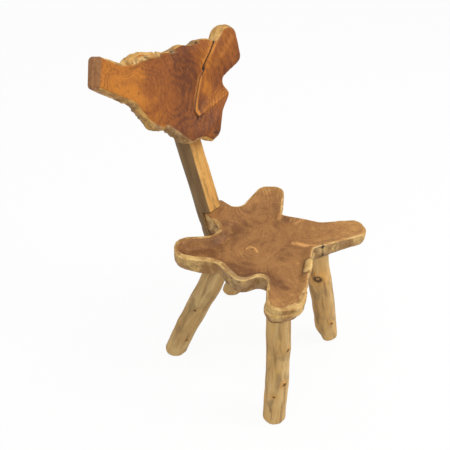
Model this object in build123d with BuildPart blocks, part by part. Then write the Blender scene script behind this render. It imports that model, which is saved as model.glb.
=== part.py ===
from build123d import *
import os
from dataclasses import dataclass
from math import atan2, cos, degrees, hypot, pi, radians, sin, tan

# Teak-root chair. Millimetres, +Z up, floor at Z = 0, and the sitter faces -Y.
# Left and right are the sitter's: left is +X, right is -X.

os.makedirs("parts", exist_ok=True)

# ---------------------------------------------------------------- driving dimensions

HUB_X = -10.0  # seat's hub, the point that its lobes spread from, from the part's origin
HUB_Y = -109.0

SEAT_HEIGHT = 440.0  # floor to the seat's rim
SEAT_THICKNESS = 62.0
SEAT_TOP_EASE = 3.0  # worn off the rim's edge
SEAT_BOTTOM_EASE = 9.0  # pared off the underside's edge
RIM_WIDTH = 14.0  # uncarved band round the hollow
HOLLOW_DEPTH = 15.0  # rim to the hollow's floor, at the hub
HOLLOW_TILT = 1.8  # degrees that the floor rises towards the sitter's left
HOLLOW_BEVEL_RUN = 13.0  # sloping wall round the floor, seen from above
HOLLOW_BEVEL_DROP = 12.0
HOLLOW_CORNER = 16.0  # least rounding of the hollow's corners, as of the two before the post

BRANCH_OVAL = 1.04  # how far a branch's section is from a circle
LEG_GIRTH_TOP = 34.0  # radius under the seat
FOOT_INSET = 6.0  # worn off round each sole
FOOT_RISE = 9.0  # height of that wear
TENON_RADIUS = 18.0
TENON_LENGTH = 28.0
TENON_ROOT = 10.0  # run of the tenon inside its leg
WEDGE_LENGTH = 20.0
WEDGE_WIDTH = 28.0
WEDGE_TIP = 1.0
WEDGE_END = 4.0

POST_OFFSET = 52.0  # hub to the post's centre line, to the sitter's left
POST_DISTANCE = 228.0  # hub to the post's planed face, at the rim's height
POST_LEAN = 20.0  # degrees from upright
POST_RADIUS = 35.0
POST_DEPTH = 62.0  # planed face to the round back
POST_TAIL = 96.0  # post's length below the seat's rim
POST_ABOVE_HUB = 43.0  # backrest's hub to the post's upper end
POST_END_EASE = 6.0
POST_LOBE_OVERRUN = 52.0  # seat's lobe past the post's planed face, before it is notched
NOTCH_DEPTH = 22.0  # wood cut from the post's front to clear the lobe

BACKREST_RISE = 360.0  # seat's rim to the backrest's hub, along the post
BACKREST_OFFSET = 10.0  # post's centre line to the hub, to the sitter's left
BACKREST_THICKNESS = 50.0  # at the post
HORN_THICKNESS = 38.0  # at the ends of the horns
WING_FLAT = 36.0  # half the width of the flat that lies on the post
RIGHT_WING_SPAN = 330.0
RIGHT_WING_TURN = 13.0  # degrees that the slab has bent forward at its end
LEFT_WING_SPAN = 215.0
LEFT_WING_TURN = 27.0
BACK_HOLLOW_RADIUS = 430.0
BACK_HOLLOW_DEPTH = 14.0
BACK_EDGE_EASE = 7.0

SCREW_RADIUS = 4.0
SCREW_LENGTH = 70.0  # under the head
SCREW_POINT = 3.0  # length of the point
SCREW_TIP_RADIUS = 0.8
HEAD_ACROSS_FLATS = 13.0
HEAD_HEIGHT = 5.5
WASHER_RADIUS = 8.0
WASHER_THICKNESS = 1.6
COUNTERBORE_RADIUS = 9.0
COUNTERBORE_DEPTH = 20.0
PLUG_CLEARANCE = 0.5  # plug to screw head
SEAT_SCREW_SPACING = 25.0
SEAT_SCREW_DROP = 40.0  # seat's rim to its two screws, along the post
UPPER_SCREW_DROP = 15.0  # backrest's hub to its two screws, down the post
LOWER_SCREW_DROP = 95.0

FIT = 0.15  # clearance all round a turned or drilled fit
REACH = 400.0  # longer than any piece is wide, for cutting tools


# ---------------------------------------------------------------- outlines

@dataclass
class Lobe:
    """One arm of the seat's root slab. Its two end corners are rounded."""

    angle: float  # degrees from +X, at the hub
    reach: float  # hub to tip
    low: float  # centre line to the end corner on the side of smaller angles
    high: float
    rounding: float
    between: tuple  # (angle, radius, rounding) of the corners from here to the next lobe


SEAT_LOBES = {
    "front_left": Lobe(-28, 306, 38, 29, 31, ((-12, 209, 60), (23, 174, 14))),
    "rear_left": Lobe(37, 310, 54, 19, 32, ((63, 197, 36),)),
    "post": Lobe(
        degrees(atan2(POST_DISTANCE, POST_OFFSET)),
        hypot(POST_DISTANCE, POST_OFFSET) + POST_LOBE_OVERRUN,
        44, 30, 20, ((95, 127, 35),),
    ),
    "rear_right": Lobe(126, 255, 40, 44, 40, ((150, 143, 40), (191, 157, 36), (221, 87, 22))),
    "front_right": Lobe(233, 239, 64, 36, 44, ((315, 131, 20),)),
}

BACKREST_CORNERS = (  # across and up from the backrest's hub, and rounding
    (193, 124, 34), (153, 143, 24),  # left horn's end
    (120, 104, 14), (94, 122, 18), (66, 127, 24), (38, 121, 24), (4, 136, 30),
    (-46, 133, 40), (-150, 167, 30), (-209, 156, 24),
    (-281, 209, 14), (-321, 138, 10),  # right horn's sawn end
    (-214, 51, 60), (-174, -35, 26), (-124, -56, 30), (-68, -125, 34),
    (-16, -127, 24), (16, -151, 14), (53, -142, 26),  # root
    (84, -86, 30), (124, -48, 14), (102, -3, 20),  # knob
    (190, 27, 26),
)


def polar(angle, radius):
    return Vector(radius * cos(radians(angle)), radius * sin(radians(angle)))


def along_lobe(lobe, distance, across):
    """A point at a distance from the hub along a lobe, and across it."""
    return polar(lobe.angle, distance) + polar(lobe.angle + 90, across)


def lobe_corners():
    """Corners of the seat's outline, and the rounding of each."""
    corners = []
    for lobe in SEAT_LOBES.values():
        corners.append((along_lobe(lobe, lobe.reach, -lobe.low), lobe.rounding))
        corners.append((along_lobe(lobe, lobe.reach, lobe.high), lobe.rounding))
        corners.extend((polar(angle, radius), rounding) for angle, radius, rounding in lobe.between)
    return corners


def rounded_outline(corners):
    """Closed line through corners. No rounding takes more than its share of either side."""
    count = len(corners)
    radii = []
    for index, (here, rounding) in enumerate(corners):
        inward = here - corners[index - 1][0]
        outward = corners[(index + 1) % count][0] - here
        shorter = min(inward.length, outward.length)
        turn = radians(inward.get_angle(outward))
        radii.append(min(rounding, 0.49 * shorter / tan(turn / 2)))
    return FilletPolyline(*[point for point, _ in corners], radius=radii, close=True)


# ---------------------------------------------------------------- places

SEAT_TOP = SEAT_HEIGHT
SEAT_UNDERSIDE = SEAT_HEIGHT - SEAT_THICKNESS
LEAN = radians(POST_LEAN)
POST_FOOT = Vector(HUB_X + POST_OFFSET, HUB_Y + POST_DISTANCE, SEAT_TOP)
POST_UP = Vector(0, sin(LEAN), cos(LEAN))
POST_FRONT = Vector(0, -cos(LEAN), sin(LEAN))
POST_TOP = BACKREST_RISE + POST_ABOVE_HUB
COUNTERBORE_FLOOR = POST_DEPTH - COUNTERBORE_DEPTH  # behind the planed face
HEAD_SEAT = COUNTERBORE_FLOOR + WASHER_THICKNESS  # screw head's underside, behind the planed face
SCREW_TIP = SCREW_LENGTH - HEAD_SEAT  # ahead of the planed face


def on_post(across, up, forward=0.0):
    """A point given by its place on the post's planed face."""
    return POST_FOOT + Vector(across, 0, 0) + POST_UP * up + POST_FRONT * forward


def face_plane(across, up, forward=0.0):
    """Plane on the post's planed face. Its X is the part's, and its Y runs up the post."""
    return Plane(origin=on_post(across, up, forward), x_dir=(1, 0, 0), z_dir=POST_FRONT)


def ring_plane(up):
    """Plane square to the post. Its X is the part's, and its Y points behind the post."""
    return Plane(origin=on_post(0, up), x_dir=(1, 0, 0), z_dir=POST_UP)


def side_plane():
    """Upright plane through the post's centre line. Its X is the part's Y, its Y the part's Z."""
    return Plane(origin=(POST_FOOT.X, 0, 0), x_dir=(0, 1, 0), z_dir=(1, 0, 0))


def beside_notch(behind, ahead, above, below, clearance):
    """Corners, in side_plane, of a block that leans as the post does.

    Distances are taken from the notch's step, which is level and lies on the seat's rim.
    """
    step_y = HUB_Y + POST_DISTANCE + NOTCH_DEPTH / cos(LEAN) + clearance
    slope = tan(LEAN)
    return [
        (step_y + behind + above * slope, SEAT_TOP + above),
        (step_y - ahead + above * slope, SEAT_TOP + above),
        (step_y - ahead - below * slope, SEAT_TOP - below),
        (step_y + behind - below * slope, SEAT_TOP - below),
    ]


@dataclass
class Leg:
    """One branch leg under one lobe of the seat."""

    lobe: str
    setback: float  # lobe's tip to the leg's socket, along the lobe
    across: float
    splay: tuple  # socket to sole, along X and Y
    girth_foot: float  # radius above the worn sole
    bow: tuple  # how far the middle is off a straight line, along X and Y
    grain: float  # degrees that the branch's oval section is turned


LEGS = {
    "front_right": Leg("front_right", 61, -12, (-35, -29), 33.0, (3, -3), 20),
    "front_left": Leg("front_left", 153, -2, (80, -23), 31.0, (2, -6), 120),
    "rear_right": Leg("rear_right", 128, 18, (-51, 141), 32.0, (-2, 5), 60),
    "rear_left": Leg("rear_left", 117, 16, (37, 140), 30.0, (4, 4), 150),
}


def socket_point(leg):
    lobe = SEAT_LOBES[leg.lobe]
    place = along_lobe(lobe, lobe.reach - leg.setback, leg.across)
    return Vector(HUB_X + place.X, HUB_Y + place.Y, SEAT_UNDERSIDE)


def sole_point(leg):
    socket = socket_point(leg)
    return Vector(socket.X + leg.splay[0], socket.Y + leg.splay[1], 0)


def socket_plane(leg):
    """Plane at the leg's socket. Its Z runs up the leg into the seat."""
    up_the_leg = socket_point(leg) - sole_point(leg)
    return Plane(origin=socket_point(leg), x_dir=(up_the_leg.Z, 0, -up_the_leg.X), z_dir=up_the_leg)


SEAT_SCREWS = {  # across, and up the post, from its foot
    "seat_right": (-SEAT_SCREW_SPACING / 2, -SEAT_SCREW_DROP),
    "seat_left": (SEAT_SCREW_SPACING / 2, -SEAT_SCREW_DROP),
}
BACKREST_SCREWS = {
    "backrest_upper": (0, BACKREST_RISE - UPPER_SCREW_DROP),
    "backrest_lower": (0, BACKREST_RISE - LOWER_SCREW_DROP),
}
SCREWS = SEAT_SCREWS | BACKREST_SCREWS


# ---------------------------------------------------------------- seat

with BuildPart() as hollow:
    floor_center = Plane(origin=(HUB_X, HUB_Y, SEAT_TOP - HOLLOW_DEPTH))
    with BuildSketch(floor_center.rotated((0, -HOLLOW_TILT, 0))):
        with BuildLine():
            rounded_outline(lobe_corners())
        make_face()
        offset(amount=-RIM_WIDTH)
        with Locations((POST_OFFSET, POST_DISTANCE - RIM_WIDTH)):
            Rectangle(REACH, REACH, align=(Align.CENTER, Align.MIN), mode=Mode.SUBTRACT)
        offset(amount=-HOLLOW_CORNER)  # in and out again, to round the corners before the post
        offset(amount=HOLLOW_CORNER)
    extrude(amount=SEAT_THICKNESS)
    hollow_floor = hollow.faces().sort_by(Axis.Z)[0]
    chamfer(hollow_floor.edges(), HOLLOW_BEVEL_RUN, HOLLOW_BEVEL_DROP, reference=hollow_floor)

with BuildPart() as seat:
    with BuildSketch(Plane(origin=(HUB_X, HUB_Y, SEAT_UNDERSIDE))):
        with BuildLine():
            rounded_outline(lobe_corners())
        make_face()
    extrude(amount=SEAT_THICKNESS)
    chamfer(seat.faces().sort_by(Axis.Z)[0].edges(), length=SEAT_BOTTOM_EASE)
    chamfer(seat.faces().sort_by(Axis.Z)[-1].edges(), length=SEAT_TOP_EASE)

    add(hollow.part, mode=Mode.SUBTRACT)

    with BuildSketch(side_plane()):
        with BuildLine():
            Polyline(*beside_notch(REACH, 0, SEAT_THICKNESS, 2 * SEAT_THICKNESS, -FIT), close=True)
        make_face()
    extrude(amount=2 * POST_RADIUS, both=True, mode=Mode.SUBTRACT)

    for leg in LEGS.values():
        with Locations(socket_plane(leg).offset(-TENON_RADIUS)):
            Cylinder(
                TENON_RADIUS + FIT, TENON_RADIUS + TENON_LENGTH + FIT,
                align=(Align.CENTER, Align.CENTER, Align.MIN), mode=Mode.SUBTRACT,
            )
    for across, up in SEAT_SCREWS.values():
        with BuildSketch(face_plane(across, up, SCREW_TIP + FIT)):
            Circle(SCREW_RADIUS + FIT)
        extrude(amount=-SCREW_LENGTH, mode=Mode.SUBTRACT)
seat.part.label = "seat"
export_step(seat.part, "parts/seat.step")


# ---------------------------------------------------------------- legs and their wedges

def wedge_outline(clearance):
    """Wedge seen edge on, thick end level with the tenon's end."""
    Polyline(
        (-WEDGE_END / 2 - clearance, clearance),
        (WEDGE_END / 2 + clearance, clearance),
        (WEDGE_TIP / 2 + clearance, -WEDGE_LENGTH - clearance),
        (-WEDGE_TIP / 2 - clearance, -WEDGE_LENGTH - clearance),
        close=True,
    )


def wedge_plane(leg):
    """Plane at the tenon's end, along the leg. Its Y runs up the leg."""
    socket = socket_plane(leg)
    end = socket.origin + socket.z_dir * TENON_LENGTH
    return Plane(origin=end, x_dir=socket.x_dir, z_dir=-socket.y_dir)


# Height of each section of a leg, and how far it is drawn in by wear.
LEG_RINGS = [(0, FOOT_INSET), (FOOT_RISE, 0)]
LEG_RINGS += [(SEAT_UNDERSIDE * share, 0) for share in (1 / 3, 2 / 3, 1)]

for place, leg_shape in LEGS.items():
    sole = sole_point(leg_shape)
    socket = socket_point(leg_shape)
    bow = Vector(*leg_shape.bow)
    with BuildPart() as leg:
        for height, drawn_in in LEG_RINGS:
            share = height / SEAT_UNDERSIDE
            center = sole + (socket - sole) * share + bow * sin(pi * share)
            radius = leg_shape.girth_foot + (LEG_GIRTH_TOP - leg_shape.girth_foot) * share - drawn_in
            with BuildSketch(Plane(origin=center)):
                Ellipse(radius * BRANCH_OVAL, radius / BRANCH_OVAL, rotation=leg_shape.grain)
        loft(ruled=True)
        with Locations(socket_plane(leg_shape).offset(-TENON_ROOT)):
            Cylinder(
                TENON_RADIUS, TENON_ROOT + TENON_LENGTH,
                align=(Align.CENTER, Align.CENTER, Align.MIN),
            )
        with BuildSketch(wedge_plane(leg_shape)):
            with BuildLine():
                wedge_outline(FIT)
            make_face()
        extrude(amount=TENON_RADIUS + FIT, both=True, mode=Mode.SUBTRACT)
    leg.part.label = f"leg_{place}"
    export_step(leg.part, f"parts/leg_{place}.step")

    with BuildPart() as wedge:
        with BuildSketch(wedge_plane(leg_shape)):
            with BuildLine():
                wedge_outline(0)
            make_face()
        extrude(amount=WEDGE_WIDTH / 2, both=True)
    wedge.part.label = f"wedge_{place}"
    export_step(wedge.part, f"parts/wedge_{place}.step")


# ---------------------------------------------------------------- back post

with BuildPart() as post_stock:
    with BuildSketch(ring_plane(-POST_TAIL)):
        with Locations((0, POST_DEPTH - POST_RADIUS)):
            Circle(POST_RADIUS)
    extrude(amount=POST_TAIL + POST_TOP)
    ends = post_stock.faces().sort_by(Axis.Z)
    chamfer(ends[0].edges() + ends[-1].edges(), length=POST_END_EASE)

with BuildPart() as back_post:
    add(post_stock.part)
    split(bisect_by=face_plane(0, 0), keep=Keep.BOTTOM)
    with BuildSketch(side_plane()):
        with BuildLine():
            Polyline(*beside_notch(0, REACH, 0, REACH, 0), close=True)
        make_face()
    extrude(amount=2 * POST_RADIUS, both=True, mode=Mode.SUBTRACT)
    for across, up in SCREWS.values():
        with BuildSketch(face_plane(across, up)):
            Circle(SCREW_RADIUS + FIT)
        extrude(amount=-POST_DEPTH, mode=Mode.SUBTRACT)
        with BuildSketch(face_plane(across, up, -COUNTERBORE_FLOOR)):
            Circle(COUNTERBORE_RADIUS)
        extrude(amount=-POST_DEPTH, mode=Mode.SUBTRACT)
back_post.part.label = "back_post"
export_step(back_post.part, "parts/back_post.step")


# ---------------------------------------------------------------- backrest

def wing(side, span, turn):
    """Ends of a wing's back and front lines, in ring_plane."""
    turned = radians(turn)
    back = Vector(side * (WING_FLAT + span), -span * tan(turned / 2))
    front = back - Vector(side * sin(turned), cos(turned)) * HORN_THICKNESS
    return back, front


with BuildPart() as backrest:
    with BuildSketch(face_plane(BACKREST_OFFSET, BACKREST_RISE)):
        with BuildLine():
            rounded_outline([(Vector(x, y), rounding) for x, y, rounding in BACKREST_CORNERS])
        make_face()
    extrude(amount=REACH)

    left_back, left_front = wing(1, LEFT_WING_SPAN, LEFT_WING_TURN)
    right_back, right_front = wing(-1, RIGHT_WING_SPAN, RIGHT_WING_TURN)
    with BuildSketch(ring_plane(BACKREST_RISE)):
        with BuildLine():
            Line((-WING_FLAT, 0), (WING_FLAT, 0))
            TangentArc((WING_FLAT, 0), left_back, tangent=(1, 0))
            Line(left_back, left_front)
            TangentArc((WING_FLAT, -BACKREST_THICKNESS), left_front, tangent=(1, 0))
            Line((WING_FLAT, -BACKREST_THICKNESS), (-WING_FLAT, -BACKREST_THICKNESS))
            TangentArc((-WING_FLAT, -BACKREST_THICKNESS), right_front, tangent=(-1, 0))
            Line(right_front, right_back)
            TangentArc((-WING_FLAT, 0), right_back, tangent=(-1, 0))
        make_face()
    extrude(amount=REACH, both=True, mode=Mode.INTERSECT)

    back_to_front = backrest.edges().filter_by(Axis(POST_FOOT, POST_FRONT))
    chamfer(backrest.edges() - back_to_front, length=BACK_EDGE_EASE)

    bowl_center = BACKREST_THICKNESS - BACK_HOLLOW_DEPTH + BACK_HOLLOW_RADIUS
    with Locations(on_post(BACKREST_OFFSET, BACKREST_RISE, bowl_center)):
        Sphere(BACK_HOLLOW_RADIUS, mode=Mode.SUBTRACT)
    for across, up in BACKREST_SCREWS.values():
        with BuildSketch(face_plane(across, up)):
            Circle(SCREW_RADIUS + FIT)
        extrude(amount=SCREW_TIP + FIT, mode=Mode.SUBTRACT)
backrest.part.label = "backrest"
export_step(backrest.part, "parts/backrest.step")


# ---------------------------------------------------------------- screws, washers and plugs

for place, (across, up) in SCREWS.items():
    with BuildPart() as washer:
        with BuildSketch(face_plane(across, up, -COUNTERBORE_FLOOR)):
            Circle(WASHER_RADIUS)
            Circle(SCREW_RADIUS + FIT, mode=Mode.SUBTRACT)
        extrude(amount=-WASHER_THICKNESS)
    washer.part.label = f"washer_{place}"
    export_step(washer.part, f"parts/washer_{place}.step")

    with BuildPart() as screw:
        with BuildSketch(face_plane(across, up, -HEAD_SEAT)):
            RegularPolygon(HEAD_ACROSS_FLATS / 2, 6, major_radius=False)
        extrude(amount=-HEAD_HEIGHT)
        with BuildSketch(face_plane(across, up, -HEAD_SEAT)):
            Circle(SCREW_RADIUS)
        extrude(amount=SCREW_LENGTH)
        tip = screw.faces().sort_by(Axis(on_post(0, 0), POST_FRONT))[-1]
        chamfer(tip.edges(), length=SCREW_POINT, length2=SCREW_RADIUS - SCREW_TIP_RADIUS)
    screw.part.label = f"screw_{place}"
    export_step(screw.part, f"parts/screw_{place}.step")

    with BuildPart() as plug:
        with BuildSketch(face_plane(across, up, -HEAD_SEAT - HEAD_HEIGHT - PLUG_CLEARANCE)):
            Circle(COUNTERBORE_RADIUS - FIT)
        extrude(amount=-POST_DEPTH)
        add(post_stock.part, mode=Mode.INTERSECT)
    plug.part.label = f"plug_{place}"
    export_step(plug.part, f"parts/plug_{place}.step")
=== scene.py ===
"""Looks of the teak-root chair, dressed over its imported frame. Metres, +Z up, the sitter faces -Y.

The seat, the backrest, the post and each leg get a skin: their CAD shape as a fine mesh, which is
carved and then marked with what its material needs to know. The small pieces keep their CAD shapes.
"""

import itertools
from dataclasses import dataclass
from math import cos, pi, radians, sin

import bpy
import numpy as np
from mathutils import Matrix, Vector
from mathutils.kdtree import KDTree


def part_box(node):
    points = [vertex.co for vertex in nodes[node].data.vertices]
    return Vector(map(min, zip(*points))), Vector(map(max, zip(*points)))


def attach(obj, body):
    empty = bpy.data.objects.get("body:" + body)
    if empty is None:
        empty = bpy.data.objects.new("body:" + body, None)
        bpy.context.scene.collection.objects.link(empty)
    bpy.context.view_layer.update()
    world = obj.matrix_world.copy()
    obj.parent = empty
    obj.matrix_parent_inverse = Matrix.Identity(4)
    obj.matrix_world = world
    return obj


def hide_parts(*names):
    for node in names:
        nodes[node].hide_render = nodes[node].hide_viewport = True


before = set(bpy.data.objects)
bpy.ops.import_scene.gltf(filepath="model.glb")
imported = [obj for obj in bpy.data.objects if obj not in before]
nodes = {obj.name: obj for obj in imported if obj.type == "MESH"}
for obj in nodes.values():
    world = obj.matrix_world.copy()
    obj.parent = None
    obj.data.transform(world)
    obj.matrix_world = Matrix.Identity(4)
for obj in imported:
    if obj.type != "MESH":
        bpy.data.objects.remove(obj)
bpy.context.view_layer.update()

MM = 0.001
SKIN_VOXEL = 2.2 * MM  # size of a skin's mesh cells


# ---------------------------------------------------------------- arrays and fields

def ease(low, high, values):
    """0 at low, 1 at high, and smooth between them. Low may be the larger."""
    share = np.clip((values - low) / (high - low), 0, 1)
    return share * share * (3 - 2 * share)


def bell(distance, width):
    """1 at no distance, falling off smoothly to about a third at the width."""
    return np.exp(-((distance / width) ** 2))


def wander(places, size, seed=0):
    """Smooth noise of about -1 to 1, in lumps of a size."""
    rng = np.random.default_rng(seed)
    order = rng.permutation(256)
    slopes = rng.uniform(-1, 1, (256, 3))
    cell = np.floor(places / size).astype(int)
    inside = places / size - cell
    smooth = inside**3 * (inside * (inside * 6 - 15) + 10)
    total = np.zeros(len(places))
    for corner in itertools.product((0, 1), repeat=3):
        x, y, z = (cell + corner).T & 255
        slope = slopes[order[(order[(order[x] + y) & 255] + z) & 255]]
        weight = np.prod(np.where(corner, smooth, 1 - smooth), axis=1)
        total += weight * ((inside - corner) * slope).sum(1)
    return total * 1.6


def layered(places, size, seed=0, layers=3):
    """Noise with finer noise on it."""
    return sum(wander(places, size / 2**layer, seed + layer) / 2**layer for layer in range(layers))


def line_distance(places, points):
    """Distance of places from a line through points, and 1 to its right or -1 to its left."""
    points = np.array(points, float) * MM
    nearest = np.full(len(places), np.inf)
    side = np.ones(len(places))
    for start, end in zip(points[:-1], points[1:]):
        run = end - start
        away = places - start
        share = np.clip(away @ run / (run @ run), 0, 1)
        distance = np.linalg.norm(away - share[:, None] * run, axis=1)
        closer = distance < nearest
        nearest = np.where(closer, distance, nearest)
        side = np.where(closer, np.sign(away[:, 0] * run[1] - away[:, 1] * run[0]), side)
    return nearest, side


def distance_to(flat, points):
    """Distance of flat places from a line through points, or from the one point."""
    if len(points) == 1:
        return np.linalg.norm(flat - np.array(points[0]) * MM, axis=1)
    return line_distance(flat, points)[0]


def distance_from(places, points):
    """Distance of places from the nearest of a few points."""
    return np.min([np.linalg.norm(places - point, axis=1) for point in points], axis=0)


def strokes(flat, marks):
    """Sum of soft strokes. Each mark is its points, its half width in millimetres and its amount."""
    total = np.zeros(len(flat))
    for points, width, amount in marks:
        total += amount * bell(distance_to(flat, points), width * MM)
    return total


def blended(flat, spots):
    """Weighted mean of spots' values. Each spot is its place, its reach in millimetres and its value."""
    values = np.zeros(len(flat))
    weights = np.full(len(flat), 1e-9)
    for place, reach, value in spots:
        weight = bell(distance_to(flat, (place,)), reach * MM)
        values += weight * value
        weights += weight
    return values / weights


def nearest_index(flat, chosen):
    """At each flat place, the index of the nearest chosen one."""
    tree = KDTree(int(chosen.sum()))
    for index in np.flatnonzero(chosen):
        tree.insert((*flat[index], 0), int(index))
    tree.balance()
    return np.array([tree.find((x, y, 0))[1] for x, y in flat])


def rounded_in(radius, inward, height):
    """How far a square edge's places move in and up to make it round.

    inward is their distance from the wall, and height is their distance from the face.
    """
    run_in = np.clip(radius - inward, 0, None)
    run_up = np.clip(radius - height, 0, None)
    kept = np.minimum(radius / np.maximum(np.hypot(run_in, run_up), 1e-9), 1)
    moved = np.where((run_in > 0) & (run_up > 0), 1 - kept, 0)
    return moved * run_in, moved * run_up


def middle(node):
    low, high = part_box(node)
    return np.array((low + high) / 2)


# ---------------------------------------------------------------- meshes

class Skin:
    """A CAD node's shape as a fine even mesh that can be carved and marked."""

    def __init__(self, node, smoothing):
        self.node = node
        piece = bpy.data.objects.new(node + "_skin", nodes[node].data.copy())
        bpy.context.scene.collection.objects.link(piece)
        remesh = piece.modifiers.new("remesh", "REMESH")
        remesh.mode = "VOXEL"
        remesh.voxel_size = SKIN_VOXEL
        smooth = piece.modifiers.new("smooth", "SMOOTH")
        smooth.iterations = smoothing
        evaluated = piece.evaluated_get(bpy.context.evaluated_depsgraph_get())
        mesh = bpy.data.meshes.new_from_object(evaluated)
        piece.modifiers.clear()
        piece.data = mesh
        self.piece = piece
        self.mesh = mesh
        self.read()

    def read(self):
        flat = np.empty(len(self.mesh.vertices) * 3, np.float32)
        self.mesh.vertices.foreach_get("co", flat)
        self.places = flat.reshape(-1, 3).astype(float)
        self.mesh.vertex_normals.foreach_get("vector", flat)
        self.normals = flat.reshape(-1, 3).astype(float)

    def write(self):
        self.mesh.vertices.foreach_set("co", self.places.astype(np.float32).ravel())
        self.mesh.update()
        self.read()

    def push(self, amounts):
        """Moves each vertex out along its normal."""
        self.places += self.normals * amounts[:, None]
        self.write()

    def mark(self, name, values):
        """Keeps a value of each vertex for the material."""
        values = np.asarray(values, np.float32)
        kind, key = ("FLOAT", "value") if values.ndim == 1 else ("FLOAT_VECTOR", "vector")
        attribute = self.mesh.attributes.new(name, kind, "POINT")
        attribute.data.foreach_set(key, values.ravel())

    def dress(self, material, slot):
        self.mesh.shade_smooth()
        self.mesh.materials.clear()
        self.mesh.materials.append(material)
        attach(self.piece, "root")
        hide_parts(self.node)


class Slab(Skin):
    """A root slab's skin. Its flat places are those seen square to its face, before it is carved."""

    AT_WALL = 2 * MM  # nearer than this, a vertex takes its own normal as the way in

    def find_walls(self, flat, is_wall, way_in):
        """Sets each place's distance inward from the slab's wall, and the unit step that leads inward."""
        away = flat - flat[nearest_index(flat, is_wall)]
        self.flat = flat
        self.inward = np.linalg.norm(away, axis=1)
        step = away / np.maximum(self.inward, 1e-9)[:, None]
        self.step = np.where(self.inward[:, None] > self.AT_WALL, step, way_in)

    def find_sides(self, facing):
        """Keeps how squarely each vertex faces out of the slab, and 1 where it faces sideways instead."""
        self.facing = facing
        self.side = 1 - ease(0.35, 0.8, np.abs(facing))


# ---------------------------------------------------------------- materials

def srgb(red, green, blue):
    """A screen colour of 0 to 255 as Blender's linear colour."""
    def linear(level):
        level /= 255
        return level / 12.92 if level < 0.04045 else ((level + 0.055) / 1.055) ** 2.4
    return (linear(red), linear(green), linear(blue), 1)


class Shading:
    """A material's node tree, built up by short calls."""

    def __init__(self, name):
        self.material = bpy.data.materials.new(name)
        self.material.use_nodes = True
        self.tree = self.material.node_tree
        self.shader = self.tree.nodes["Principled BSDF"]

    def node(self, kind, inputs=(), **settings):
        made = self.tree.nodes.new("ShaderNode" + kind)
        for name, value in settings.items():
            setattr(made, name, value)
        for name, value in dict(inputs).items():
            self.plug(value, made.inputs[name])
        return made

    def plug(self, value, socket):
        if isinstance(value, bpy.types.NodeSocket):
            self.tree.links.new(value, socket)
        else:
            socket.default_value = value

    def marked(self, name, vector=False):
        """What Skin.mark kept. A mesh without that mark gives 0."""
        made = self.node("Attribute", attribute_name=name)
        return made.outputs["Vector" if vector else "Fac"]

    def math(self, operation, *values):
        made = self.node("Math", operation=operation)
        for value, socket in zip(values, made.inputs):
            self.plug(value, socket)
        return made.outputs[0]

    def add(self, first, second):
        return self.math("ADD", first, second)

    def times(self, first, second):
        return self.math("MULTIPLY", first, second)

    def swing(self, value, amount):
        """A value of 0 to 1 as a swing about 0, of an amount from end to end."""
        return self.times(self.math("SUBTRACT", value, 0.5), amount)

    def waves(self, value, length):
        """Sine waves of a length along a value."""
        return self.math("SINE", self.times(value, 2 * pi / length))

    def stretch(self, vector, scale):
        made = self.node("Mapping", {"Vector": vector, "Scale": scale})
        return made.outputs[0]

    def noise(self, vector, scale, detail=3.0, roughness=0.55, distortion=0.0):
        made = self.node("TexNoise", {
            "Vector": vector, "Scale": scale, "Detail": detail,
            "Roughness": roughness, "Distortion": distortion,
        })
        return made.outputs["Fac"]

    def span(self, value, low, high, to_low=0.0, to_high=1.0):
        """Value between low and high, eased from to_low to to_high."""
        made = self.node("MapRange", {
            "Value": value, "From Min": low, "From Max": high, "To Min": to_low, "To Max": to_high,
        }, interpolation_type="SMOOTHSTEP")
        return made.outputs[0]

    def mix(self, factor, first, second):
        made = self.node("Mix", data_type="RGBA")
        self.plug(factor, made.inputs[0])
        self.plug(first, made.inputs[6])
        self.plug(second, made.inputs[7])
        return made.outputs[2]

    def finish(self, color, roughness, height, distance=0.4 * MM, strength=0.6):
        """Gives the shader its colour, roughness and bumps of a height."""
        self.plug(color, self.shader.inputs["Base Color"])
        self.plug(roughness, self.shader.inputs["Roughness"])
        bump = self.node("Bump", {"Height": height, "Strength": strength, "Distance": distance})
        self.plug(bump.outputs[0], self.shader.inputs["Normal"])
        return self.material


@dataclass
class RootLook:
    """Colours and figure of one root slab."""

    pale: tuple
    mid: tuple
    dark: tuple
    amber: tuple
    sap: tuple
    ring_gap: float  # between the dark lines of the growth rings
    mottling: float


SAP_BROWN = srgb(156, 112, 64)
SAP_FLECK = srgb(132, 92, 54)
SEAM_BROWN = srgb(136, 82, 34)  # between heartwood and sapwood
BARK_PALE = srgb(182, 152, 112)
BARK_BROWN = srgb(130, 98, 62)
# The pale mark's colours: burl and pale crust, and also the painted highlight on the seat rim's edge.
BURL_AND_HIGHLIGHT_PALE = srgb(236, 200, 132)
BURL_AND_HIGHLIGHT_BROWN = srgb(190, 142, 76)
SAWN_PALE = srgb(156, 108, 66)
SAWN_BROWN = srgb(134, 90, 56)
# Colour of holes and cracks, and also of painted shade beside the backrest's fold and in its crevices.
HOLE_AND_SHADE_BROWN = srgb(52, 36, 26)
WIDE_RING_GAPS = 3.1  # line gaps to one broad ring


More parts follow.
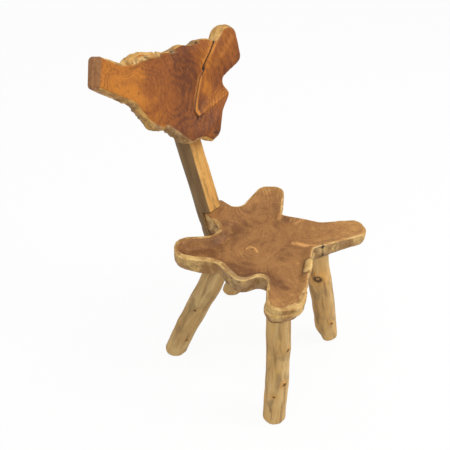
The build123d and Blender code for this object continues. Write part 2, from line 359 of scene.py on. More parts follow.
def root_teak(name, look):
    """Oiled face of a root slab: ringed heartwood, sapwood at the edge, and what the slab's marks add."""
    s = Shading(name)
    s.shader.inputs["Specular IOR Level"].default_value = 0.25
    grain = s.marked("grain", vector=True)
    cloud = s.noise(grain, 14, 5, 0.6, 0.3)
    mottle = s.noise(grain, 44, 4, 0.65, 0.3)
    blotch = s.noise(grain, 26, 4, 0.6)
    patch = s.noise(grain, 40, 5, 0.65)
    fine = s.noise(s.stretch(grain, (1, 1, 0.35)), 170, 4, 0.6)

    phase = s.add(s.marked("ring"), s.times(cloud, 14 * MM))
    wide_ring = s.span(s.waves(phase, look.ring_gap * WIDE_RING_GAPS), -0.9, 0.9)
    line = s.span(s.waves(phase, look.ring_gap), -0.4, 1.0)
    line = s.times(line, s.span(s.noise(grain, 24, 4), 0.40, 0.66))

    tone = s.add(s.marked("tone"), s.swing(cloud, 0.9))
    tone = s.add(tone, s.swing(wide_ring, 0.14))
    tone = s.add(tone, s.swing(mottle, look.mottling))
    color = s.mix(s.span(tone, 0.0, 0.5), look.dark, look.mid)
    color = s.mix(s.span(tone, 0.5, 1.0), color, look.pale)
    color = s.mix(s.times(s.span(s.marked("amber"), 0, 1), 0.85), color, look.amber)
    color = s.mix(s.times(line, 0.5), color, look.dark)
    color = s.mix(s.span(fine, 0.52, 0.72, 0.0, 0.55), color, look.dark)
    color = s.mix(s.span(fine, 0.46, 0.30, 0.0, 0.35), color, look.pale)

    sapwood = s.mix(s.span(blotch, 0.38, 0.62), look.sap, SAP_BROWN)
    sapwood = s.mix(s.span(fine, 0.50, 0.70, 0.0, 0.5), sapwood, SAP_FLECK)
    edge = s.add(s.marked("heart"), s.swing(cloud, 0.5))
    seam = s.times(s.span(edge, 0.30, 0.46), s.span(edge, 0.74, 0.56))
    color = s.mix(s.span(edge, 0.36, 0.60), sapwood, color)
    color = s.mix(s.times(seam, 0.55), color, SEAM_BROWN)

    bark_and_shade = s.span(s.times(s.marked("bark_and_shade"), s.span(blotch, 0.3, 0.62, 0.4, 1.5)), 0.15, 1.0)
    bark_color = s.mix(s.span(patch, 0.36, 0.64), BARK_PALE, BARK_BROWN)
    # Pale mark: burls and crust, and the seat rim's painted highlight.
    burl_and_highlight_color = s.mix(s.span(mottle, 0.38, 0.6), BURL_AND_HIGHLIGHT_PALE, BURL_AND_HIGHLIGHT_BROWN)
    sawn_color = s.mix(s.span(fine, 0.35, 0.75), SAWN_PALE, SAWN_BROWN)
    color = s.mix(s.times(bark_and_shade, 0.75), color, bark_color)
    color = s.mix(s.span(s.marked("pale"), 0, 1), color, burl_and_highlight_color)
    color = s.mix(s.span(s.marked("sawn"), 0, 1), color, sawn_color)
    color = s.mix(s.span(s.marked("hole_and_shade"), 0.1, 0.9), color, HOLE_AND_SHADE_BROWN)

    height = s.add(s.times(line, -0.5), s.times(fine, 0.7))
    height = s.add(height, s.times(patch, s.span(s.marked("bark_and_shade"), 0, 1, 0.3, 2.5)))
    roughness = s.span(s.add(fine, s.marked("bark_and_shade")), 0.3, 1.2, 0.50, 0.80)
    return s.finish(color, roughness, height)


TAN_PALE = srgb(212, 180, 122)
TAN_DEEP = srgb(188, 150, 92)
PLANED_AMBER = srgb(220, 162, 82)
STREAK_BROWN = srgb(144, 110, 70)
STREAK_PALE = srgb(222, 192, 132)
CLOUD_OLIVE = srgb(142, 114, 70)
CLOUD_GOLD = srgb(226, 178, 92)
THREAD_BROWN = srgb(126, 90, 52)
# The next two colours also paint shade on the post's -X side.
WEATHERED_AND_SHADE = srgb(128, 100, 66)
KNOT_AND_SHADE_BROWN = srgb(66, 44, 28)


def branch_teak(name):
    """Peeled branch: tan, with long streaks, clouds, weathering, checks and knots, and painted shade on
    the post's -X side.
    """
    s = Shading(name)
    s.shader.inputs["Specular IOR Level"].default_value = 0.3
    grain = s.marked("grain", vector=True)
    broad = s.noise(s.stretch(grain, (1, 1, 0.25)), 16, 4)
    cloud = s.noise(s.stretch(grain, (1, 1, 0.4)), 34, 4, 0.65, 0.4)
    streak = s.noise(s.stretch(grain, (1, 1, 0.14)), 70, 4, 0.6, 0.3)
    thread = s.noise(s.stretch(grain, (1, 1, 0.05)), 330, 3, 0.6)
    check = s.noise(s.stretch(grain, (1, 1, 0.12)), 120, 2, 0.5, 0.8)

    color = s.mix(s.span(broad, 0.34, 0.66), TAN_PALE, TAN_DEEP)
    color = s.mix(s.span(s.marked("amber"), 0.0, 1.0), color, PLANED_AMBER)
    color = s.mix(s.span(streak, 0.50, 0.68, 0.0, 0.7), color, STREAK_BROWN)
    color = s.mix(s.span(streak, 0.44, 0.28, 0.0, 0.45), color, STREAK_PALE)
    color = s.mix(s.span(cloud, 0.50, 0.70, 0.0, 0.65), color, CLOUD_OLIVE)
    color = s.mix(s.span(cloud, 0.46, 0.30, 0.0, 0.60), color, CLOUD_GOLD)
    color = s.mix(s.span(thread, 0.52, 0.75, 0.0, 0.40), color, THREAD_BROWN)
    # On the post, these grey and dark mixes also paint shade on its -X side.
    grey = s.times(s.marked("bark_and_shade"), s.span(streak, 0.25, 0.6, 0.6, 1.3))
    color = s.mix(s.span(grey, 0.1, 1.1, 0.0, 0.85), color, WEATHERED_AND_SHADE)
    darkness = s.add(s.marked("dark"), s.span(check, 0.68, 0.78, 0.0, 0.5))
    color = s.mix(s.span(darkness, 0.0, 1.0), color, KNOT_AND_SHADE_BROWN)

    height = s.add(s.times(streak, 1.6), s.times(thread, 0.6))
    height = s.math("SUBTRACT", height, s.span(check, 0.66, 0.78, 0.0, 1.2))
    roughness = s.span(streak, 0.3, 0.7, 0.52, 0.72)
    return s.finish(color, roughness, height, distance=0.6 * MM)


def turned_teak(name, pale, brown):
    """Small turned or sawn hardwood piece, with its grain along X."""
    s = Shading(name)
    place = s.node("TexCoord").outputs["Object"]
    streak = s.noise(s.stretch(place, (0.12, 1, 1)), 420, 4, 0.6, 0.4)
    color = s.mix(s.span(streak, 0.35, 0.68), pale, brown)
    return s.finish(color, s.span(streak, 0.3, 0.7, 0.5, 0.7), streak, distance=0.2 * MM)


def plated_steel(name):
    """Bright zinc plate, finely brushed."""
    s = Shading(name)
    s.shader.inputs["Metallic"].default_value = 1.0
    place = s.node("TexCoord").outputs["Object"]
    brushed = s.noise(s.stretch(place, (0.1, 1, 1)), 2600, 3)
    cloud = s.noise(place, 140, 3)
    color = s.mix(s.span(cloud, 0.3, 0.7), srgb(196, 198, 200), srgb(164, 166, 170))
    return s.finish(color, s.span(brushed, 0.3, 0.7, 0.24, 0.42), brushed, 0.03 * MM, 0.3)


seat_teak = root_teak("seat_teak", RootLook(
    pale=srgb(188, 138, 78), mid=srgb(158, 110, 62), dark=srgb(118, 76, 42),
    amber=srgb(222, 162, 96), sap=srgb(212, 174, 110),
    ring_gap=9 * MM, mottling=0.75,
))
backrest_teak = root_teak("backrest_teak", RootLook(
    pale=srgb(184, 112, 30), mid=srgb(144, 80, 28), dark=srgb(102, 54, 26),
    amber=srgb(212, 136, 52), sap=srgb(208, 160, 86),
    ring_gap=7.5 * MM, mottling=0.5,
))
pole_teak = branch_teak("branch_teak")
wedge_teak = turned_teak("wedge_teak", srgb(170, 120, 74), srgb(128, 84, 50))
plug_teak = turned_teak("plug_teak", srgb(190, 138, 82), srgb(150, 102, 60))
screw_steel = plated_steel("screw_steel")


# ---------------------------------------------------------------- seat

# Places on the seat are across (X) and along (Y) from the part's origin. In these tables places,
# reaches, widths, depths and radii are in millimetres, and tones and amounts go from 0 to 1 or so.

RIM_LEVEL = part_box("seat")[1].z
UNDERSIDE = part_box("seat")[0].z
WALL_LEVELS = (0.411, 0.421)  # between them the seat's only walls are its outline and its screw holes
FACE_LEVEL = 0.412  # all of the seat's face is above this
POST_FROM_SCREW = np.array((-12.5, -10)) * MM  # from the left screw to the post's front, on the seat
DISH_RUN = 26 * MM  # from the rim's inner edge to the dish's floor
RIM_SINK = 1 * MM  # keeps the swelling rim under the seat's height

DISH_DEPTHS = (  # place, reach and depth under the rim
    ((-10, -109), 110, 16),
    ((-150, 60), 60, 21),  # rear right
    ((200, 60), 90, 8),  # rear left
    ((250, -230), 110, 4),  # front left
    ((-140, -280), 70, 6),  # front right
)
RIM_WIDTHS = (  # place, reach and width of the pale rim
    ((-10, -109), 90, 9), ((-150, 60), 70, 12), ((-180, -60), 60, 13), ((-190, -230), 50, 7),
    ((-150, -310), 30, 15), ((-95, -300), 30, 18), ((-50, -270), 40, 2), ((10, -235), 40, 2),
    ((200, 60), 90, 6), ((150, -60), 50, 1), ((230, -170), 60, 1), ((130, -215), 50, 2),
)
EDGE_ROUNDS = (  # place, reach and radius of the underside's edge
    ((-10, -109), 130, 24), ((-170, -290), 50, 36), ((-70, -270), 60, 60), ((270, -250), 90, 32),
    ((-240, 40), 40, 46),
)
ROUND_TUCKS = (  # place, reach and how many times further in the round goes than up
    ((-10, -109), 130, 1.0), ((-60, -280), 50, 2.1), ((-200, -250), 60, 1.0),
)
SLAB_SHARES = (  # place, reach and share of the slab's thickness that is left under the rim
    ((-10, -109), 130, 1.0), ((250, -230), 90, 0.84), ((-150, -110), 36, 0.86),
)
RING_CENTERS = (  # line that rings go round, and how wide they are
    (((-90, -300), (-35, -180)), 1.0), (((-18, -66), (60, -60)), 1.4), (((110, 20), (210, 120)), 1.5),
    (((160, -160), (250, -230)), 1.6), (((-230, 80), (-110, 20)), 1.2),
)
SEAT_TONES = (  # place, reach and tone, from dark 0 to pale 1. The dark tones inside the near rim and in the rear right trough are painted shade
    ((-10, -109), 60, 0.50), ((17, 24), 45, 0.22), ((-40, 40), 40, 0.35), ((-150, 60), 50, 0.25),
    ((-116, -120), 45, 0.12), ((-80, -180), 40, 0.25), ((-60, -230), 60, 0.62), ((60, -60), 50, 0.48),
    ((110, -60), 50, 0.35), ((80, -130), 40, 0.38), ((160, -150), 60, 0.60), ((250, -220), 60, 0.85),
    ((130, 60), 50, 0.45), ((200, 130), 60, 0.80), ((-110, -280), 50, 0.66), ((60, 80), 40, 0.5),
)
SEAT_DARK_AND_SHADE = (  # line, half width and how much darker. The first two lines are painted shade, along the near rim's inner wall and in the rear right trough
    (((-165, -70), (-125, -130), (-90, -185), (-95, -235)), 20, 0.55),
    (((-205, 60), (-120, 30)), 28, 0.15),
    (((15, 30), (-40, 30)), 34, 0.10),
    (((-60, -10), (-90, 20)), 26, 0.1),
    (((110, -55), (140, -62)), 20, 0.2),
    (((84, -190), (60, -230)), 16, 0.1),
    (((-14, -240), (14, -222)), 8, 0.25),
    (((60, -140), (20, -150)), 22, 0.12),
)
SEAT_AMBER = (  # line, half width and amount
    (((80, -139), (88, -162), (98, -195)), 7, 1.0),
    (((150, -95), (184, -112)), 5, 0.6),
    (((138, -43), (150, -40)), 8, 0.8),
    (((-210, 70), (-170, 20), (-130, 10)), 12, 0.5),
    (((-24, -53), (-11, -54), (-8, -69), (-16, -84)), 3.5, 0.9),
    (((200, 150), (130, 60)), 9, 0.25),
)
SEAT_HOLES = (  # place, half width and amount
    (((85, -212),), 4, 1.0), (((-120, -177),), 6, 0.8), (((-20, -66),), 2.5, 0.6),
    (((112, -214),), 5, 0.6),
)
SEAT_BARK = (  # line or place, half width and amount
    (((-130, -177), (-95, -170)), 30, 0.9),
    (((-190, -60), (-150, -110)), 40, 0.7),
    (((100, -215),), 30, 0.8),
    (((160, -220), (240, -260)), 30, 0.5),
    (((-190, 20),), 40, 0.4),
)
SHADED_HOLLOW = ((-110, -90),)  # where the hollow is darkened right up to its rim, as painted shade
LIP = ((-205, -255), (-154, -300), (-95, -285))  # a groove and a bead go round this lobe's edge
GROOVE_DROP = 17 * MM  # below the rim
BEAD_DROP = 27 * MM
BULGE = ((-205, -250),)  # the same lobe's outer corner swells
LIP_REACH = 45 * MM  # of the groove, bead and bulge
BURL = ((30, -224), (14, -232), (-2, -240))  # leaf-shaped, on the edge of the front notch
BURL_DROP = 6 * MM
BURL_REACH = 11 * MM
BURL_WAY = np.array((0.42, -0.78, 0.46))  # that the burl swells


def carve_seat(skin, rim):
    """Dishes the face inside its rim, then rounds the underside's edge and thins its lobes."""
    flat = skin.flat
    height = skin.places[:, 2].copy()
    post_foot = middle("screw_seat_left")[:2] + POST_FROM_SCREW
    from_post = np.linalg.norm((flat - post_foot) * (0.8, 1), axis=1)
    depth = blended(flat, DISH_DEPTHS) * MM * ease(35 * MM, 85 * MM, from_post)
    dish = depth * ease(rim, rim + DISH_RUN, skin.inward)
    worn = 2.5 * MM * ease(6 * MM, 0, skin.inward)
    swell = 0.8 * MM * wander(skin.places, 40 * MM, 5)
    facing_up = (skin.normals[:, 2] > 0.25) & (height > FACE_LEVEL)
    skin.places[:, 2] += facing_up * (RIM_LEVEL - dish - worn + swell - RIM_SINK - height)

    move_in, move_up = rounded_in(blended(flat, EDGE_ROUNDS) * MM, skin.inward, height - UNDERSIDE)
    skin.places[:, :2] += skin.step * (move_in * blended(flat, ROUND_TUCKS))[:, None]
    skin.places[:, 2] += move_up
    kept = blended(flat, SLAB_SHARES)
    skin.places[:, 2] += (1 - kept) * (RIM_LEVEL - skin.places[:, 2]) * ~facing_up
    skin.write()


def seat_edge(skin):
    """1 on the seat's outer wall, and 0 on its faces and in its screw holes."""
    return skin.side * ease(30 * MM, 10 * MM, skin.inward)


def roughen_seat(skin):
    """Lumps, groove, bead and burl of the edge. Gives each vertex's distance from the burl."""
    drop = RIM_LEVEL - skin.places[:, 2]
    lumps = 1.0 * MM + 1.8 * MM * layered(skin.places * (1, 1, 0.6), 55 * MM, 11)
    lumps += 1.0 * MM * layered(skin.places * (1, 1, 0.5), 16 * MM, 13)
    lip = bell(distance_to(skin.flat, LIP), LIP_REACH)
    lumps -= 2.5 * MM * lip * bell(drop - GROOVE_DROP, 3 * MM)
    lumps += 2.0 * MM * lip * bell(drop - BEAD_DROP, 6 * MM)
    bulge = bell(distance_to(skin.flat, BULGE), LIP_REACH) * ease(4 * MM, 22 * MM, drop)
    skin.push(seat_edge(skin) * (lumps + 12 * MM * bulge))

    burl_places = np.column_stack((skin.flat, 0.7 * (drop - BURL_DROP)))
    from_burl = line_distance(burl_places, [(*point, 0) for point in BURL])[0]
    skin.places += np.outer(8 * MM * bell(from_burl, BURL_REACH), BURL_WAY)
    skin.write()
    return from_burl


def mark_seat(skin, rim, from_burl):
    """Rings, tones, sapwood, bark and holes of the seat, for its material."""
    flat = skin.flat
    up = ease(0.2, 0.6, skin.normals[:, 2])
    burl = bell(from_burl, BURL_REACH)
    burl_crease = bell(from_burl - 13 * MM, 3 * MM)
    heart = ease(rim - 2 * MM, rim + 3 * MM, skin.inward) * ease(0.1, 0.4, skin.normals[:, 2])
    ring = np.min([distance_to(flat, line) / width for line, width in RING_CENTERS], axis=0)
    warp = 24 * MM * wander(skin.places, 90 * MM, 21) + 7 * MM * wander(skin.places, 34 * MM, 22)
    # Painted shade: the tone darkens on the hollow's wall just inside the rim, round that place.
    rim_shade = 0.12 * ease(34 * MM, 12 * MM, skin.inward - rim)
    rim_shade *= ease(90 * MM, 50 * MM, distance_to(flat, SHADED_HOLLOW))
    pits = seat_edge(skin) * ease(0.2, 0.75, layered(skin.places * (1, 1, 0.8), 20 * MM, 17))
    # Painted highlight: a pale line along the rim's edge, on the faces that look up.
    painted_rim_highlight = ease(6 * MM, 1.5 * MM, skin.inward) * up
    skin.mark("heart", heart)
    skin.mark("ring", ring + warp)
    # The seat's tone carries painted shade inside the near rim and in the rear right trough.
    skin.mark("tone", blended(flat, SEAT_TONES) - strokes(flat, SEAT_DARK_AND_SHADE) - rim_shade)
    skin.mark("hole_and_shade", strokes(flat, SEAT_HOLES) + 0.45 * pits + 0.6 * burl_crease * up)
    skin.mark("amber", strokes(flat, SEAT_AMBER))
    skin.mark("bark_and_shade", (1 - heart) * (0.12 * skin.side + strokes(flat, SEAT_BARK)) + 0.5 * burl)
    skin.mark("pale", np.maximum(0.6 * painted_rim_highlight, 0.95 * burl))
    skin.mark("grain", skin.places)


def make_seat():
    skin = Slab("seat", 3)
    flat = skin.places[:, :2].copy()
    low, high = WALL_LEVELS
    at_level = (skin.places[:, 2] > low) & (skin.places[:, 2] < high)
    screw_holes = [middle(node)[:2] for node in ("screw_seat_right", "screw_seat_left")]
    clear = distance_from(flat, screw_holes) > 40 * MM
    is_wall = (np.abs(skin.normals[:, 2]) < 0.3) & at_level & clear
    skin.find_walls(flat, is_wall, -skin.normals[:, :2])
    rim = blended(flat, RIM_WIDTHS) * MM * (1 + 0.25 * wander(skin.places, 45 * MM, 3))
    carve_seat(skin, rim)
    skin.find_sides(skin.normals[:, 2])
    from_burl = roughen_seat(skin)
    mark_seat(skin, rim, from_burl)
    skin.dress(seat_teak, "root_teak")


# ---------------------------------------------------------------- backrest

# Places on the backrest are across (X) and up along the post from its hub, which is a little above the
# upper screw and beside the post's middle. The tables' units are as the seat's.

lower_fixing = middle("washer_backrest_lower")
upper_fixing = middle("washer_backrest_upper")
post_up = (upper_fixing - lower_fixing) / np.linalg.norm(upper_fixing - lower_fixing)
post_front = np.array((0, -post_up[2], post_up[1]))
HUB_ABOVE_FIXING = 15 * MM
HUB_BESIDE_POST = 10 * MM
FIXINGS = np.array(((-10, -15), (-10, -95))) * MM  # the two screws, from the hub

BACK_TONES = (  # place, reach and tone, from dark 0 to pale 1. The pale spots on the raised tongue beside the fold are painted light
    ((-260, 140), 50, 0.95), ((-200, 90), 50, 0.86), ((-140, 60), 40, 0.64), ((-145, 0), 30, 0.72),
    ((-90, 40), 40, 0.46), ((-60, 10), 40, 0.30), ((-90, 110), 40, 0.46), ((-30, 80), 35, 0.20),
    ((0, 110), 35, 0.08), ((10, 50), 30, 0.12), ((-10, 10), 30, 0.18), ((-40, -40), 40, 0.20),
    ((-80, -60), 35, 0.12), ((-40, -100), 35, 0.10), ((10, -110), 35, 0.15), ((60, -110), 30, 0.34),
    ((90, -60), 25, 0.55), ((45, 5), 18, 0.80), ((75, 45), 22, 0.74), ((110, 20), 30, 0.34),
    ((125, 90), 30, 0.62), ((170, 100), 30, 0.60), ((170, 50), 30, 0.42), ((60, 100), 20, 0.60),
    ((-200, 150), 30, 0.66),
)
SAPWOOD = (  # place, reach and width of the sapwood
    ((-60, 30), 100, 0.5), ((-230, 40), 50, 6), ((-170, -30), 40, 9), ((-110, -80), 40, 10),
    ((-50, -125), 40, 7), ((20, -140), 30, 4), ((110, 20), 80, 0.5), ((140, 140), 25, 14),
    ((-150, 160), 60, 4),
)
BACK_ROUNDS = (  # place, reach and radius of the back's edge
    ((0, 30), 120, 18), ((-310, 165), 50, 5), ((-190, 0), 50, 18), ((-110, -80), 50, 18),
    ((-150, 165), 70, 14),
)
CRUST = ((-206, 160), (-182, 150), (-150, 151), (-113, 144), (-84, 139))  # along the upper edge
LOW_EDGE = ((-240, 72), (-201, 24), (-176, -32), (-124, -58), (-68, -120))  # ragged, as the crust is
BACK_AMBER = (  # line, half width and amount. The third line, beside the tongue's fold, is a painted highlight
    (((113, 100), (92, 82), (66, 64)), 4, 0.8),
    (((128, 108), (108, 90), (84, 66)), 3, 0.5),
    (((40, 30), (12, -10), (-8, -44), (-4, -60)), 6, 1.0),
    (((70, 70), (96, 96), (112, 118)), 9, 0.6),
    (((20, -60), (60, -50), (99, -42)), 14, 0.5),
    (((-250, 120), (-190, 60)), 24, 0.3),
    (((99, 44), (134, 69), (172, 98)), 10, 0.4),
    (((115, -10), (118, -48)), 6, 0.4),
)
BACK_HOLES = (  # line or place, half width and amount
    (((-39, 133),), 6, 0.9),
    (((55, 125),), 6, 0.9),
    (((-14, -71),), 3.5, 0.9),
    (((2, -73),), 3, 0.9),
    (((20, -64), (44, -58)), 2.5, 0.5),
    (((-205, 148), (-183, 137), (-150, 140), (-110, 136)), 2.5, 0.35),
    (((24, -128), (38, -132)), 4, 0.7),
)
BACK_BARK = (  # line, half width and amount
    (CRUST, 10, 0.10),
    (((-130, -52), (-72, -118)), 12, 0.8),
    (((-225, 55), (-190, -10), (-140, -48)), 10, 0.7),
    (((-45, 132), (-30, 130)), 7, 0.8),
    (((50, 124), (62, 122)), 7, 0.8),
    (((122, 112), (110, 100)), 4, 0.7),
)
BACK_PALE = (  # line, half width and amount
    (((140, 140), (124, 118)), 12, 0.9),
    (((150, 150), (175, 146)), 7, 0.7),
    (CRUST, 7, 0.75),
)
SAWN_END = ((-283, 207), (-321, 140))
SAWN_BEVEL = 16 * MM  # how far the slanting cut reaches over the front
CRACK = ((121, 112), (100, 92), (76, 68), (57, 47))
FOLD = ((57, 47), (38, 34), (6, -13), (-19, -48), (-11, -69), (11, -67))  # the tongue is to its left
STRANDS = ((11, -62), (55, -50), (99, -40))
RING_HEART = ((-72, 18),)  # that the face's rings go round
HORN_HEART = ((-150, 60), (-250, 130))  # line that the sawn horn's rings go round


def along_post(places):
    """How far places are across from the post's upper fixing, in front of it and up from it."""
    away = places - upper_fixing
    return away[:, 0], away @ post_front, away @ post_up


def round_back(skin, forward):
    """Rounds the back's edge, but not the flat round the screws."""
    on_back = skin.normals @ post_front < -0.7
    above_back = forward - forward[nearest_index(skin.flat, on_back)]
    move_in, move_forward = rounded_in(blended(skin.flat, BACK_ROUNDS) * MM, skin.inward, above_back)
    clear = distance_from(skin.flat, FIXINGS) > 14 * MM
    move_in *= clear
    move_forward *= clear
    skin.places += np.outer(move_in * skin.step[:, 0], (1, 0, 0))
    skin.places += np.outer(move_in * skin.step[:, 1], post_up)
    skin.places += np.outer(move_forward, post_front)
    skin.write()


def carve_backrest(skin):
    """Lumps, crust, crack, tongue, strands and the sawn bevel, with the marks that follow them."""
    flat = skin.flat
    facing = skin.facing
    front = ease(0.2, 0.6, facing)
    ragged = strokes(flat, ((LOW_EDGE, 24, 1.0), (CRUST, 18, 1.0)))
    lumps = 2.0 * MM * layered(skin.places, 45 * MM, 31)
    lumps += (0.6 + 3.2 * ragged) * MM * layered(skin.places, 13 * MM, 37)
    crack = bell(distance_to(flat, CRACK), 2.8 * MM)
    from_fold, fold_side = line_distance(flat, FOLD)
    past_fold = from_fold * fold_side
    tongue = ease(-1.5 * MM, 1.5 * MM, -past_fold) * bell(from_fold, 30 * MM)
    across, up = flat.T
    strand_ways = np.column_stack((across * 0.25 - up, across + up * 0.25, 0 * up))
    strands = strokes(flat, ((STRANDS, 16, 1.0),)) * layered(strand_ways * (1, 0.09, 1), 7 * MM, 43)
    crust = strokes(flat, ((CRUST, 8, 1.0),))
    knobs = layered(skin.places, 11 * MM, 35)
    relief = -5 * MM * crack + 5 * MM * tongue + 4 * MM * strands + 5 * MM * crust * (0.4 + knobs)
    swell = 1.0 * MM * wander(skin.places, 45 * MM, 33)
    ripple = 0.25 * MM * np.sin(distance_to(flat, RING_HEART) / (2.2 * MM))

    from_sawn = distance_to(flat, SAWN_END)
    forward = along_post(skin.places)[1]
    bevel = np.clip(SAWN_BEVEL - from_sawn, 0, None)
    face = forward[nearest_index(flat, facing > 0.7)]
    beyond = np.clip(forward + bevel - face, 0, None) * (bevel > 0)
    skin.places -= np.outer(beyond, post_front)
    skin.push(skin.side * lumps * ease(0, 20 * MM, from_sawn) + front * (relief + swell + ripple))

    pits = (0.3 * skin.side + 0.9 * ragged) * ease(0.0, 0.45, layered(skin.places, 15 * MM, 47))
    # Dark pits, and painted shade where the crust's knobs and the strands are carved lowest.
    pits_and_crevice_shade = 0.42 * pits + 0.55 * ease(0.1, -0.4, knobs) * crust + 0.8 * ease(-0.2, -0.7, strands)
    # Painted shadow: a thin dark band beside the tongue's fold.
    fold_shade = 0.75 * bell(past_fold + 2 * MM, 2 * MM)
    # The tone rises on the strands' raised ridges, a painted highlight.
    skin.mark("tone", blended(flat, BACK_TONES) + 0.6 * strands)
    skin.mark("hole_and_shade", front * (strokes(flat, BACK_HOLES) + 0.9 * crack + fold_shade) + 0.8 * pits_and_crevice_shade)
    # The amber carries a painted highlight beside the tongue's fold.
    skin.mark("amber", front * strokes(flat, BACK_AMBER))
    skin.mark("sawn", ease(SAWN_BEVEL, SAWN_BEVEL - 2 * MM, from_sawn) * (facing > -0.6))


def mark_backrest(skin):
    """The rest of the marks: rings, sapwood, bark and pale places."""
    flat = skin.flat
    sap_width = blended(flat, SAPWOOD) * MM * (1 + 0.5 * wander(skin.places, 25 * MM, 39))
    heart = ease(sap_width, sap_width + 3 * MM, skin.inward) * ease(0.1, 0.4, np.abs(skin.facing))
    ring = np.minimum(distance_to(flat, RING_HEART), 0.7 * distance_to(flat, HORN_HEART))
    warp = 28 * MM * wander(skin.places, 90 * MM, 41) + 5 * MM * wander(skin.places, 32 * MM, 42)
    skin.mark("heart", heart)
    skin.mark("ring", ring + warp)
    skin.mark("bark_and_shade", 0.1 * skin.side + strokes(flat, BACK_BARK))
    skin.mark("pale", strokes(flat, BACK_PALE))
    skin.mark("grain", skin.places)


def make_backrest():
    skin = Slab("backrest", 3)
    across, forward, up = along_post(skin.places)
    flat = np.column_stack((across - HUB_BESIDE_POST, up - HUB_ABOVE_FIXING))
    clear = distance_from(flat, FIXINGS) > 12 * MM
    is_wall = (np.abs(skin.normals @ post_front) < 0.3) & clear
    way_in = -np.column_stack((skin.normals[:, 0], skin.normals @ post_up))
    skin.find_walls(flat, is_wall, way_in)
    round_back(skin, forward)
    skin.find_sides(skin.normals @ post_front)
    carve_backrest(skin)
    mark_backrest(skin)
    skin.dress(backrest_teak, "root_teak")


# ---------------------------------------------------------------- post and legs

def make_post():
    skin = Skin("back_post", 1)
    across, forward, up = along_post(skin.places)
    grain = np.column_stack((across, -forward, up))
    planed = ease(0.8, 0.95, skin.normals @ post_front) * (skin.places[:, 2] > RIM_LEVEL)
    plugs = [middle(node) for node in nodes if node.startswith("plug_")]
    from_plugs = distance_from(skin.places, plugs)
    round_side = (1 - planed) * ease(14 * MM, 24 * MM, from_plugs)
    ridges = 1.2 * MM + 1.3 * MM * layered(grain * (1, 1, 0.12), 16 * MM, 51)
    skin.push(round_side * (ridges - 1.5 * MM * skin.normals[:, 0]))
    # Painted shade: the post's unplaned side darkens towards -X, away from the key lamp.
    shaded_side = (1 - planed) * ease(0, -18 * MM, across)
    skin.mark("amber", planed * 0.9)
    skin.mark("dark", shaded_side * (0.28 + 0.25 * wander(grain * (1, 1, 0.15), 14 * MM, 53)))
    skin.mark("bark_and_shade", 0.35 * (1 - planed) + 0.9 * shaded_side)
    skin.mark("grain", grain)
    skin.dress(pole_teak, "branch_teak")


@dataclass
class LegLook:
    """What makes one branch leg unlike the others."""

    knots: tuple  # each its height in millimetres, its degrees round the leg and its size in millimetres
    stoutness: float  # added all round
    amber: float
    weathering: float
    grain_place: float  # shifts the leg's figure, across and along
    chipped_side: tuple = ()  # way that a chipped foot faces


LEG_LOOKS = {
    "front_left": LegLook(
        knots=((304, 214, 14), (96, 250, 5)),
        stoutness=1.2 * MM, amber=0.3, weathering=0.6, grain_place=1.1, chipped_side=(-0.64, 0.77),
    ),
    "front_right": LegLook(
        knots=((268, 262, 5), (150, 250, 6), (110, 205, 4)),
        stoutness=0.6 * MM, amber=0.3, weathering=0.6, grain_place=1.2,
    ),
    "rear_right": LegLook(
        knots=((230, 200, 4), (90, 235, 4)),
        stoutness=2.6 * MM, amber=0.0, weathering=0.15, grain_place=1.1,
    ),
    "rear_left": LegLook(knots=(), stoutness=1.5 * MM, amber=0.2, weathering=0.6, grain_place=1.0),
}
LEG_RISE = 20 * MM  # how far a leg's shoulder is let up into the rounded underside
LEG_RADIUS = 32 * MM  # turns degrees round a leg into a distance
SLICE = 12 * MM  # half height of the slices whose middles follow the leg's bow
CHIP_TOP = 52 * MM  # above the floor


def leg_axis(skin):
    """X and Y of the leg's own middle at each vertex's height."""
    height = skin.places[:, 2]
    levels = np.linspace(SLICE, UNDERSIDE - SLICE, 14)
    centers = np.array([skin.places[np.abs(height - level) < SLICE].mean(0)[:2] for level in levels])
    return np.column_stack([np.interp(height, levels, center) for center in centers.T])


def make_leg(place, look):
    skin = Skin("leg_" + place, 2)
    height = skin.places[:, 2].copy()
    axis = leg_axis(skin)
    x, y = (skin.places[:, :2] - axis).T
    grain = np.column_stack((x + look.grain_place, y + look.grain_place, height))
    lift = LEG_RISE * ease(UNDERSIDE - 80 * MM, UNDERSIDE, height)
    raised = np.minimum(height + lift, height.max())
    skin.places[:, 2] = raised

    angle = np.arctan2(y, x)
    dark = np.zeros(len(height))
    halo = np.zeros(len(height))
    swelling = np.zeros(len(height))
    for level, turn, size in look.knots:
        around = (np.abs(angle - radians(turn) + pi) % (2 * pi) - pi) * LEG_RADIUS
        away = np.hypot(around, raised - level * MM) / (size * MM)
        dark += 0.85 * bell(away - 0.6, 0.38)
        halo += 0.6 * bell(away, 2.2)
        swelling += 2.5 * MM * (np.exp(-((away - 1.2) ** 2) * 3) - 0.6 * np.exp(-(away**2) * 3))
    free = ease(UNDERSIDE + LEG_RISE, UNDERSIDE, raised) * ease(0, 6 * MM, raised)
    ridges = 1.2 * MM * layered(grain * (1, 1, 0.14), 15 * MM, 61)
    ridges += 1.8 * MM * wander(grain, 60 * MM, 63)
    skin.push(free * (ridges + look.stoutness + swelling))
    if look.chipped_side:
        along = (skin.places[:, :2] - axis) @ look.chipped_side
        chip = 0.5 * np.clip(along, 0, None) * ease(CHIP_TOP, 6 * MM, skin.places[:, 2])
        skin.places[:, :2] -= np.outer(chip, look.chipped_side)
        skin.write()
    skin.mark("amber", look.amber + halo)
    skin.mark("dark", dark)
    skin.mark("bark_and_shade", look.weathering * ease(0.1, 0.8, layered(grain * (1, 1, 0.2), 34 * MM, 65)))
    skin.mark("grain", grain)
    skin.dress(pole_teak, "branch_teak")


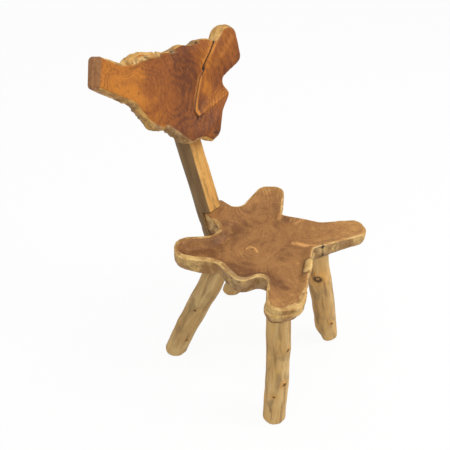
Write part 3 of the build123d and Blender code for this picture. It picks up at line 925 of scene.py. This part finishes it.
make_seat()
make_backrest()
make_post()
for leg_place, leg_look in LEG_LOOKS.items():
    make_leg(leg_place, leg_look)


# ---------------------------------------------------------------- small pieces kept from the frame

SMALL_FINISHES = {"wedge": wedge_teak, "plug": plug_teak, "screw": screw_steel, "washer": screw_steel}

for node_name, node in nodes.items():
    finish = SMALL_FINISHES.get(node_name.split("_")[0])
    if finish:
        for slot in node.material_slots:
            slot.material = finish


# ---------------------------------------------------------------- camera, floor and light

CAMERA_TARGET = Vector((0.0031, 0.0499, 0.44))
CAMERA_DISTANCE = 2.3
CAMERA_AZIMUTH = radians(-50)
CAMERA_ELEVATION = radians(38)
CAMERA_LENS = 64.03  # millimetres, for a sensor of 36
FLOOR_GREY = 0.86
FLOOR_GLOW = 0.93  # share of pure white that the camera sees in the floor
SKY_LIGHT = 0.62
SKY_SEEN = 0.975
LAMP_TARGET = Vector((0, 0, 0.5))


def make_camera():
    lens = bpy.data.cameras.new("camera")
    lens.lens = CAMERA_LENS
    camera = bpy.data.objects.new("camera", lens)
    bpy.context.scene.collection.objects.link(camera)
    offset = Vector((
        sin(CAMERA_AZIMUTH) * cos(CAMERA_ELEVATION),
        -cos(CAMERA_AZIMUTH) * cos(CAMERA_ELEVATION),
        sin(CAMERA_ELEVATION),
    ))
    camera.location = CAMERA_TARGET + offset * CAMERA_DISTANCE
    camera.rotation_euler = (-offset).to_track_quat("-Z", "Y").to_euler()
    bpy.context.scene.camera = camera


def make_floor():
    bpy.ops.mesh.primitive_plane_add(size=40)
    floor = bpy.context.active_object
    floor.name = "floor"
    s = Shading("floor_paper")
    s.tree.nodes.remove(s.shader)
    paper = s.node("BsdfDiffuse", {"Color": (FLOOR_GREY, FLOOR_GREY, FLOOR_GREY, 1)}).outputs[0]
    glow = s.node("Emission", {"Color": (1, 1, 1, 1), "Strength": 1.0}).outputs[0]
    seen = s.node("LightPath").outputs["Is Camera Ray"]
    blend = s.node("MixShader")
    s.plug(s.times(seen, FLOOR_GLOW), blend.inputs[0])
    s.plug(paper, blend.inputs[1])
    s.plug(glow, blend.inputs[2])
    s.plug(blend.outputs[0], s.tree.nodes["Material Output"].inputs["Surface"])
    floor.data.materials.append(s.material)


def make_world():
    """White all round: the chair is lit by a dimmer white than the camera sees."""
    world = bpy.data.worlds.new("studio")
    world.use_nodes = True
    bpy.context.scene.world = world
    tree = world.node_tree
    background = tree.nodes["Background"]
    background.inputs["Color"].default_value = (1, 1, 1, 1)
    path = tree.nodes.new("ShaderNodeLightPath")
    strength = tree.nodes.new("ShaderNodeMapRange")
    strength.inputs["To Min"].default_value = SKY_LIGHT
    strength.inputs["To Max"].default_value = SKY_SEEN
    tree.links.new(path.outputs["Is Camera Ray"], strength.inputs["Value"])
    tree.links.new(strength.outputs[0], background.inputs["Strength"])


def make_lamp(name, place, size, power):
    lamp = bpy.data.lights.new(name, "AREA")
    lamp.shape = "DISK"
    lamp.size = size
    lamp.energy = power
    holder = bpy.data.objects.new(name, lamp)
    bpy.context.scene.collection.objects.link(holder)
    holder.location = place
    holder.rotation_euler = (LAMP_TARGET - Vector(place)).to_track_quat("-Z", "Y").to_euler()


make_camera()
make_floor()
make_world()
make_lamp("key", (1.3, -1.9, 2.4), size=1.6, power=42)
make_lamp("top", (-0.6, -0.2, 3.0), size=2.0, power=22)
bpy.context.scene.view_settings.view_transform = "Standard"
